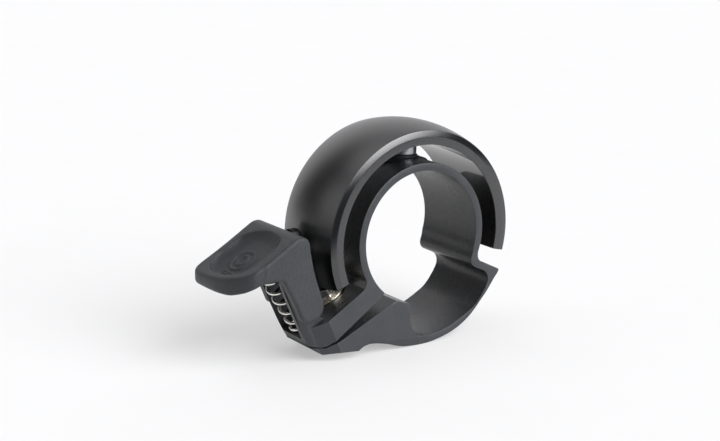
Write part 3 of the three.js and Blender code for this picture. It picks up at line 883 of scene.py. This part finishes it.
def under_cut(side):
    """Box that slices the underside at an angle, on the given side in Y."""
    normal = unit_vector(-0.0845, side * 0.3186, -0.944)
    across = np.array([1.0, 0, 0]) - normal * normal[0]
    across /= np.linalg.norm(across)
    along = np.cross(normal, across)
    point = np.array([-1.66 * BORE_R, side * 0.662 * BORE_R, -1.4997 * BORE_R])
    verts = [point + across * a + along * b + normal * c
             for a in (-6, 6) for b in (-7, 7) for c in (0, 6)]
    faces = [(0, 1, 3, 2), (4, 6, 7, 5), (0, 4, 5, 1), (2, 3, 7, 6), (0, 2, 6, 4), (1, 5, 7, 3)]
    return fix_normals(new_object("under", verts, faces))


def corner_cut(side):
    """Cutter that rounds the nose's outer corner on the given side in Y."""
    down = unit_vector(0.386, 0, -0.922)
    inward = np.array([-down[2], 0, down[0]])
    start = np.array([-2.262 * BORE_R, 0, -0.42 * BORE_R])
    stations, radii = zip(*NOSE_CORNERS[side])
    places = np.linspace(stations[0], stations[-1], 45)
    rounding = np.interp(places, stations, radii)
    rounding = np.convolve(np.pad(rounding, 3, mode="edge"), np.ones(7) / 7, mode="valid")
    steps = 20
    verts = []
    for place, r in zip(places, rounding):
        section = [(-3.0, NOSE_HALF_W + 3), (-3.0, NOSE_HALF_W - r)]
        for i in range(steps + 1):
            t = math.pi / 2 * i / steps
            section.append((r - r * math.cos(t), NOSE_HALF_W - r + r * math.sin(t)))
        section.append((r + 4.3, NOSE_HALF_W + 3))
        for q, y in section:
            v = start + down * place + inward * q
            verts.append((v[0], side * y, v[2]))
    n = len(section)
    faces = sweep_sides(len(places) - 1, n)
    last = (len(places) - 1) * n
    for i in range(1, n - 1):
        faces.append((0, i + 1, i))
        faces.append((last, last + i, last + i + 1))
    return fix_normals(new_object("corner", verts, faces))


def spring_channel():
    across = np.array([SPRING_AXIS[2], 0, -SPRING_AXIS[0]])
    end = SPRING_SEAT + SPRING_AXIS * 13.5
    corners = [SPRING_SEAT - across * 8, SPRING_SEAT + across * 2.0,
               end + across * 2.0, end - across * 12]
    return slab("channel", [(q[0], q[2]) for q in corners], -SLOT_HALF_W, SLOT_HALF_W)


def build_clamp():
    ob = slab("clamp_moulding", clamp_outline, -HALF_W, HALF_W, edge=0.09)
    facet_narrow(ob)
    cut_caps(ob)
    for k, (y0, y1) in enumerate(((-NOSE_HALF_W, -SLOT_HALF_W), (SLOT_HALF_W, NOSE_HALF_W))):
        wall = slab(f"wall{k}", wall_outline, y0, y1, edge=0.14, segments=3)
        boolean(ob, cut_caps(wall), "UNION")
    boss = [(0, 0), (4.7, 0), (3.75, 0.30), (3.2, 0.5), (2.85, 0.72), (2.72, BOSS_H), (0, BOSS_H)]
    boolean(ob, turned("boss", boss, POST_AXIS * BOSS_BASE, POST_AXIS, radius=0.12), "UNION")
    boolean(ob, spring_channel())
    for side in (-1, 1):
        boolean(ob, corner_cut(side))
        boolean(ob, under_cut(side))
    boolean(ob, rod("screw_hole", HOLE_R, -4, 4.2, ARM_TOP + SCREW_AXIS * 1.0, SCREW_AXIS))
    boolean(ob, rod("spot_face", 3.85, 0, 4, ARM_TOP + SCREW_AXIS * SPOT_DEPTH, -SCREW_AXIS, 96))
    countersink = [(0, -3), (3.2, -3), (3.2, 0.42), (1.62, 1.95), (1.62, 4), (0, 4)]
    boolean(ob, turned("ring_hole", countersink, POST_AXIS * 11.0, POST_AXIS, 64))
    boolean(ob, rod("pin_hole", PIN_R + 0.06, -9, 9, PIVOT, Y_AXIS, 48))
    boolean(ob, rod("jaw_hole", 2.0, 0, 20, ARM_TOP + SCREW_AXIS * 2.4, SCREW_AXIS))
    boolean(ob, rod("jaw_counterbore", 3.55, 0, 12, ARM_TOP + SCREW_AXIS * JAW_SEAT,
                    SCREW_AXIS, 96))
    return ob


def jaw_weights(ob):
    """Weights, 0 on the band, arm and bracket, 1 on the jaw, turning smoothly along the thin neck;
    they are worked out but not stored on the mesh.
    """
    points = np.array([v.co for v in ob.data.vertices], float) / MM - OFFSET
    x, z = points[:, 0], points[:, 2]
    weight = (z < np.interp(x, *zip(*scaled(PARTING)))).astype(float)
    t = np.clip((NECK_TOP_Z - z) / NECK_DROP, 0, 1)
    weight = np.where(x > NECK_X, t * t * (3 - 2 * t), weight)


clamp = build_clamp()
shade_by_angle(clamp, 32)
dress(clamp, CLAMP_NYLON)
weight_normals(clamp)
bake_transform(clamp)
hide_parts("clamp_body", "clamp_jaw")
jaw_weights(clamp)

# ------------------------------------------------------------------ thumb lever
# (x, z) in bore radii, the side view
LEVER_OUTLINE = [
    (-1.906, 0.022), (-1.918, 0.10), (-1.93, 0.19), (-1.955, 0.242), (-2.0, 0.275),
    (-2.06, 0.292), (-2.13, 0.283), (-2.24, 0.225), (-2.40, 0.128), (-2.66, -0.025),
    (-2.86, -0.135), (-3.0, -0.207), (-3.10, -0.255), (-3.16, -0.285), (-3.185, -0.325),
    (-3.185, -0.385), (-3.165, -0.445), (-3.12, -0.485), (-3.06, -0.485), (-2.96, -0.44),
    (-2.83, -0.365), (-2.73, -0.315), (-2.62, -0.30), (-2.46, -0.298), (-2.385, -0.305),
    (-2.29, -0.48), (-2.16, -0.735), (-2.05, -0.955), (-1.995, -1.005), (-1.906, -0.985),
    (-1.85, -0.965), (-1.794, -0.936), (-1.742, -0.893), (-1.714, -0.839), (-1.704, -0.77),
    (-1.711, -0.70), (-1.75, -0.58), (-1.794, -0.45), (-1.833, -0.32), (-1.864, -0.20)]
# (x, y) in bore radii, the plan of the pad
PAD_PLAN = [
    (-1.5, -0.7), (-1.5, 0.7), (-2.86, 0.7), (-2.86, 0.66), (-3.0, 0.65), (-3.115, 0.595),
    (-3.16, 0.46), (-3.17, 0.27), (-3.16, 0.10), (-3.125, -0.10), (-3.07, -0.28), (-3.0, -0.42),
    (-2.91, -0.55), (-2.80, -0.63), (-2.68, -0.66), (-2.68, -0.7)]
# (x, z) in bore radii: the hollow between the cheeks, and what is trimmed off the +Y cheek
CAVITY = [(-1.4, -1.4), (-2.76, -1.4), (-2.76, -0.332), (-2.18, 0.0), (-1.4, -0.02)]
CHEEK_TRIM = [(-2.7, -0.312), (-2.26, -0.312), (-2.19, -0.42), (-2.08, -0.63), (-2.01, -0.77),
              (-1.94, -0.94), (-1.86, -1.11), (-1.86, -1.4), (-2.7, -1.4)]
# (x, y) in bore radii, the rim of the dish
DISH_RIM = [
    (-3.011, 0.342), (-3.044, 0.184), (-3.033, 0.0), (-2.97, -0.227), (-2.834, -0.422),
    (-2.676, -0.456), (-2.513, -0.454), (-2.373, -0.439), (-2.247, -0.352), (-2.196, -0.142),
    (-2.204, 0.123), (-2.281, 0.337), (-2.409, 0.487), (-2.595, 0.519), (-2.756, 0.549),
    (-2.90, 0.476)]
lever_outline = spline(fillet(scaled(LEVER_OUTLINE), 0.5, 26.0), 0.35, long=3.4)
pad_plan = spline(fillet(scaled(PAD_PLAN), 0.2, 60.0), 0.35, long=3.0)
cavity = fillet(scaled(CAVITY), 0.8, 26.0)
cheek_trim = scaled(CHEEK_TRIM)
dish_rim = spline(scaled(DISH_RIM), 0.4, long=9.0)

PAD_NORMAL = unit_vector(-0.49, 0.0, 0.872)
PAD_X, PAD_Z = -2.61 * BORE_R, 0.005 * BORE_R           # a point on the thumb face
MARK_X, MARK_Y = -2.66 * BORE_R, 0.02 * BORE_R          # centre of the raised mark
MARK_RINGS = ((2.15, 0.24), (1.05, 0.22))               # radius, half thickness
MARK_BARS = ((3.0, 1.3), (3.55, 0.9))                   # distance towards the tip, half length
BAR_HALF_T = 0.16
MARK_H = 0.24
DISH_DEPTH, DISH_SLOPE = 0.86, 0.50                     # the depth is gained over the slope


def emboss(x, y):
    """Raised mark in the dish: two concentric rings and two short bars."""
    u = (x - MARK_X) / abs(PAD_NORMAL[2])
    v = y - MARK_Y
    r = np.sqrt(u * u + v * v)

    def band(d, w):
        return 1 / (1 + np.exp(-(w - np.abs(d)) / 0.06))

    height = sum(band(r - radius, w) for radius, w in MARK_RINGS)
    for place, half_length in MARK_BARS:
        height = height + band(u + place, BAR_HALF_T) * band(v, half_length)
    return np.clip(height, 0, 1)


def lever_field(x, y, z):
    d = meet(polygon_distance(lever_outline, x, z), np.abs(y) - CHEEK_OUT, 0.55)
    d = meet(d, polygon_distance(pad_plan, x, y), 0.5)
    hollow = meet(polygon_distance(cavity, x, z), np.abs(y) - CHEEK_IN, 0.3)
    d = meet(d, -hollow, 0.18)
    d = meet(d, -meet(polygon_distance(cheek_trim, x, z), 3.0 - y, 0.02), 0.3)
    # dish: falls away from its rim and flattens into a shallow bowl
    rim = polygon_distance(dish_rim, x, y)
    above_face = (x - PAD_X) * PAD_NORMAL[0] + (z - PAD_Z) * PAD_NORMAL[2]
    inside = np.clip(-rim, 0, None)
    depth = DISH_DEPTH * (1 - np.exp(-inside / DISH_SLOPE))
    depth = depth - MARK_H * emboss(x, y) * (inside > 0.5)
    bowl = -(above_face + depth)                        # negative above the bowl's floor
    return meet(d, -np.maximum(bowl, rim), 0.16)


lever = surface("thumb_lever_moulding", lever_field,
                lo=(-3.21 * BORE_R, -7.6, -1.06 * BORE_R), hi=(-1.66 * BORE_R, 7.6, 0.33 * BORE_R),
                cell=0.11)
dress(lever, LEVER_NYLON)
declare(lever, "lever", "thumb_lever")


# ------------------------------------------------------------------ small hardware
def part(ob, material, body, node):
    dress(ob, material)
    shade_by_angle(ob, 40)
    declare(ob, body, node)


def build_hammer():
    profile = [(0, 0), (0.8, 0), (0.8, 2.5), (1.35, 2.5), (1.35, 3.55), (1.24, 4.0),
               (0.98, 4.3), (0.6, 4.47), (0.3, 4.52), (0, 4.53)]
    return turned("hammer_stud", profile, (-2.125 * BORE_R, 0, 0.14 * BORE_R), (1, 0, 0),
                  radius=0.12)


def build_spacer():
    r, thick, chamfer = 2.6, 2.2, 0.12
    profile = [(HOLE_R, 0), (r - chamfer, 0), (r, chamfer), (r, thick - chamfer),
               (r - chamfer, thick), (HOLE_R, thick)]
    return turned("ring_spacer_disc", profile, POST_AXIS * (BOSS_BASE + BOSS_H + GAP), POST_AXIS,
                  radius=0.08, closed=True)


def build_washer(name, r, base, direction, segments, radius):
    profile = [(HOLE_R, 0), (r, 0), (r, WASHER_T), (HOLE_R, WASHER_T)]
    return turned(name, profile, base, direction, segments, radius, closed=True)


def build_nut():
    base = ARM_TOP + SCREW_AXIS * (SPOT_DEPTH - 2 * GAP - WASHER_T)
    height = 1.9
    ob = hexagon("clamp_hex_nut", 5.5, 0.0, height, base, -SCREW_AXIS, twist=0.35)
    cone = [(0, 0), (2.85, 0), (3.3, 0.28), (3.3, 1.62), (2.85, height), (0, height)]
    boolean(ob, turned("cone", cone, base, -SCREW_AXIS), "INTERSECT")
    boolean(ob, rod("bore", 1.56, -1, 3, base, -SCREW_AXIS))
    with editing(ob) as bm:
        bmesh.ops.remove_doubles(bm, verts=bm.verts, dist=2e-6)
        sharp = [e for e in bm.edges if len(e.link_faces) == 2
                 and e.calc_face_angle(0.0) > math.radians(50) and e.calc_length() > 0.8e-3]
        bevel(bm, sharp, 0.07, 2)
    return ob


def build_screw():
    base = ARM_TOP + SCREW_AXIS * (JAW_SEAT + GAP + WASHER_T + GAP)
    profile = [(0, -9.0), (1.2, -9.0), (1.48, -8.7), (1.48, 0), (2.75, 0), (2.75, 2.0), (0, 2.0)]
    ob = turned("clamp_socket_screw", profile, base, SCREW_AXIS, radius=0.12)
    boolean(ob, hexagon("key", 2.0, 0.8, 3.0, base, SCREW_AXIS))
    return ob


def build_ring_screw():
    base = POST_AXIS * 11.3
    profile = [(0, 0), (2.75, 0), (2.75, 0.15), (1.42, 1.48), (1.42, 5.6), (1.15, 5.9), (0, 5.9)]
    ob = turned("ring_countersunk_screw", profile, base, POST_AXIS, radius=0.05)
    boolean(ob, hexagon("key2", 2.0, -1.0, 1.1, base, POST_AXIS))
    return ob


def build_pin():
    length, chamfer = 13.9, 0.15
    profile = [(0, 0), (PIN_R - chamfer, 0), (PIN_R, chamfer), (PIN_R, length - chamfer),
               (PIN_R - chamfer, length), (0, length)]
    return turned("lever_pivot_pin", profile, (PIVOT[0], -6.65, PIVOT[2]), Y_AXIS, 48, 0.05)


part(build_hammer(), BLACK_OXIDE, "lever", "hammer")
part(build_spacer(), SPACER_GREY, "clamp", "ring_spacer")
part(build_washer("nut_washer_disc", 3.7, ARM_TOP + SCREW_AXIS * (SPOT_DEPTH - GAP),
                  -SCREW_AXIS, segments=120, radius=0.09),
     BRASSY, "clamp", "clamp_nut_washer")
part(build_washer("screw_washer_disc", 3.0, ARM_TOP + SCREW_AXIS * (JAW_SEAT + GAP),
                  SCREW_AXIS, segments=96, radius=0.08),
     SCREW_ZINC, "screw", "clamp_screw_washer")
part(build_nut(), NUT_ZINC, "clamp", "clamp_nut")
part(build_screw(), SCREW_ZINC, "screw", "clamp_screw")
part(build_ring_screw(), SCREW_ZINC, "clamp", "ring_screw")
part(build_pin(), SCREW_ZINC, "lever", "lever_pin")


# ------------------------------------------------------------------ return spring
SPRING_LENGTH = 1.298 * BORE_R - 2 * GAP
SPRING_TURNS = 7.75


def coil_lead(turns):
    """Unscaled advance from an end: nearly closed for the first 3/4 turn, then open."""
    return turns * 0.16 if turns < 0.75 else 0.12 + (turns - 0.75) * 0.96


def coil_point(t):
    """Centre of the wire at t from 0 to 1, and the direction away from the coil's axis."""
    u = np.array([SPRING_AXIS[2], 0, -SPRING_AXIS[0]])
    v = -np.cross(SPRING_AXIS, u)
    total = coil_lead(SPRING_TURNS / 2) * 2
    turns = t * SPRING_TURNS
    if turns <= SPRING_TURNS / 2:
        lead = coil_lead(turns)
    else:
        lead = total - coil_lead(SPRING_TURNS - turns)
    angle = 2 * math.pi * turns
    outward = u * math.cos(angle) + v * math.sin(angle)
    along = WIRE_R + (SPRING_LENGTH - 2 * WIRE_R) * lead / total
    centre = SPRING_SEAT + SPRING_AXIS * GAP + SPRING_AXIS * along + outward * SPRING_R
    return centre, outward


def build_spring():
    steps, sides = 620, 14
    verts = []
    for i in range(steps + 1):
        t = i / steps
        centre, outward = coil_point(t)
        tangent = coil_point(min(1, t + 1e-4))[0] - coil_point(max(0, t - 1e-4))[0]
        tangent = tangent / np.linalg.norm(tangent)
        normal = outward - tangent * (outward @ tangent)
        normal /= np.linalg.norm(normal)
        binormal = np.cross(tangent, normal)
        for k in range(sides):
            q = 2 * math.pi * k / sides
            verts.append(centre + WIRE_R * (normal * math.cos(q) + binormal * math.sin(q)))
    return fix_normals(new_object("return_spring_coil", verts, sweep_faces(steps, sides)))


spring = build_spring()
part(spring, COIL, "clamp", "return_spring")
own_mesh(spring)

# ------------------------------------------------------------------ floor, in metres
FLOOR_Z = cad_lo.z - 0.00002
FLOOR_HALF = 3.0
FLOOR_CELLS = 24
FLOOR_TONE = 0.45


def floor_paper():
    net = MaterialNet("floor_paper")
    p = net.position()
    shade = net.ramp(net.noise(p, scale=0.05, detail=3.0), lo=0.3, hi=0.7)
    paper = (FLOOR_TONE,) * 3
    pale = net.mix(shade, rgb(*paper), tinted(paper, 1.015, 1.015, 1.018))
    # the sheet turns dark towards the camera, but only in the bell's reflections
    x, y, z = net.split(p)
    ahead = net.add(net.mul(x, -0.9), net.mul(y, -1.0))
    glossy = net.node("ShaderNodeLightPath").outputs["Is Glossy Ray"]
    dark = net.mul(net.ramp(ahead, lo=72.0, hi=105.0), glossy)
    relief = net.bump(net.noise(p, scale=2.0), strength=0.04, distance=0.0001)
    return net.finish({"Base Color": net.mix(dark, pale, rgb(0.03, 0.03, 0.03)),
                       "Emission Color": rgb(1.0, 1.0, 1.004),
                       "Emission Strength": net.mul(0.42, net.sub(1.0, dark)),
                       "Roughness": 1.0, "Specular IOR Level": 0.0, "Normal": relief})


def build_floor():
    marks = [-FLOOR_HALF + 2 * FLOOR_HALF * i / FLOOR_CELLS for i in range(FLOOR_CELLS + 1)]
    row = FLOOR_CELLS + 1
    faces = []
    for j in range(FLOOR_CELLS):
        for i in range(FLOOR_CELLS):
            a = j * row + i
            faces.append((a, a + 1, a + row + 1, a + row))
    ob = object_in_metres("floor_sheet", [(x, y, 0.0) for y in marks for x in marks], faces)
    ob.location = (0, 0, FLOOR_Z)
    dress(ob, floor_paper())
    return ob


build_floor()

# ------------------------------------------------------------------ camera
CAMERA_FORWARD = Vector((0.53890, 0.80675, -0.24236))
CAMERA_RIGHT = Vector((0.83154, -0.55546, 0.0))
CAMERA_UP = Vector((0.13462, 0.20153, 0.97018))
CAMERA_PLACE = Vector((-0.141142, -0.200207, 0.062504))     # metres from the bore's centre


def place_camera():
    data = bpy.data.cameras.new("camera")
    cam = bpy.data.objects.new("camera", data)
    bpy.context.scene.collection.objects.link(cam)
    data.sensor_fit = "HORIZONTAL"
    data.sensor_width = 36.0
    data.lens = 75.44
    data.clip_start, data.clip_end = 0.005, 20.0
    pose = Matrix((CAMERA_RIGHT, CAMERA_UP, -CAMERA_FORWARD)).transposed().to_4x4()
    pose.translation = CAMERA_PLACE + OFFSET_M
    cam.matrix_world = pose
    bpy.context.scene.camera = cam


place_camera()

# ------------------------------------------------------------------ light, all from the sky
SKY_BASE = 0.07
# soft round lights: direction, degrees of full light, degrees where it ends, strength
SKY_LIGHTS = (
    ((0.539, 0.807, 0.10), 34.0, 60.0, 0.88),       # wide, behind the bell
    ((0.30, -0.80, 0.60), 16.0, 36.0, 6.2),         # key, in front and above
    ((0.42, -0.88, 0.22), 7.0, 15.0, 1.5),          # low, in front
    ((-0.82, 0.42, 0.39), 5.0, 24.0, 0.9),          # glow behind the lever
    ((-0.20, 0.25, 1.0), 10.0, 34.0, 1.2),          # overhead
    ((1.0, 0.1, 0.35), 12.0, 34.0, 0.5),            # a little from +X
)


def build_world():
    world = bpy.data.worlds.new("studio")
    bpy.context.scene.world = world
    world.use_nodes = True
    net = Net(world.node_tree)
    output = net.node("ShaderNodeOutputWorld")
    towards = net.node("ShaderNodeTexCoord").outputs["Generated"]
    total = None
    for direction, inner, outer, strength in SKY_LIGHTS:
        facing = net.dot(towards, tuple(Vector(direction).normalized()))
        lobe = net.ramp(facing, lo=math.cos(math.radians(outer)),
                        hi=math.cos(math.radians(inner)), to=(0.0, strength),
                        interpolation_type="SMOOTHSTEP")
        total = net.add(total, lobe) if total else net.add(lobe, SKY_BASE)
    background = net.node("ShaderNodeBackground",
                          {"Color": (1.0, 1.0, 1.015, 1.0), "Strength": total})
    net.put(output.inputs[0], background.outputs[0])
    world.cycles.sampling_method = "MANUAL"
    world.cycles.sample_map_resolution = 512


build_world()

view = bpy.context.scene.view_settings
view.view_transform = "Standard"
view.look = "None"
view.exposure = 0.0
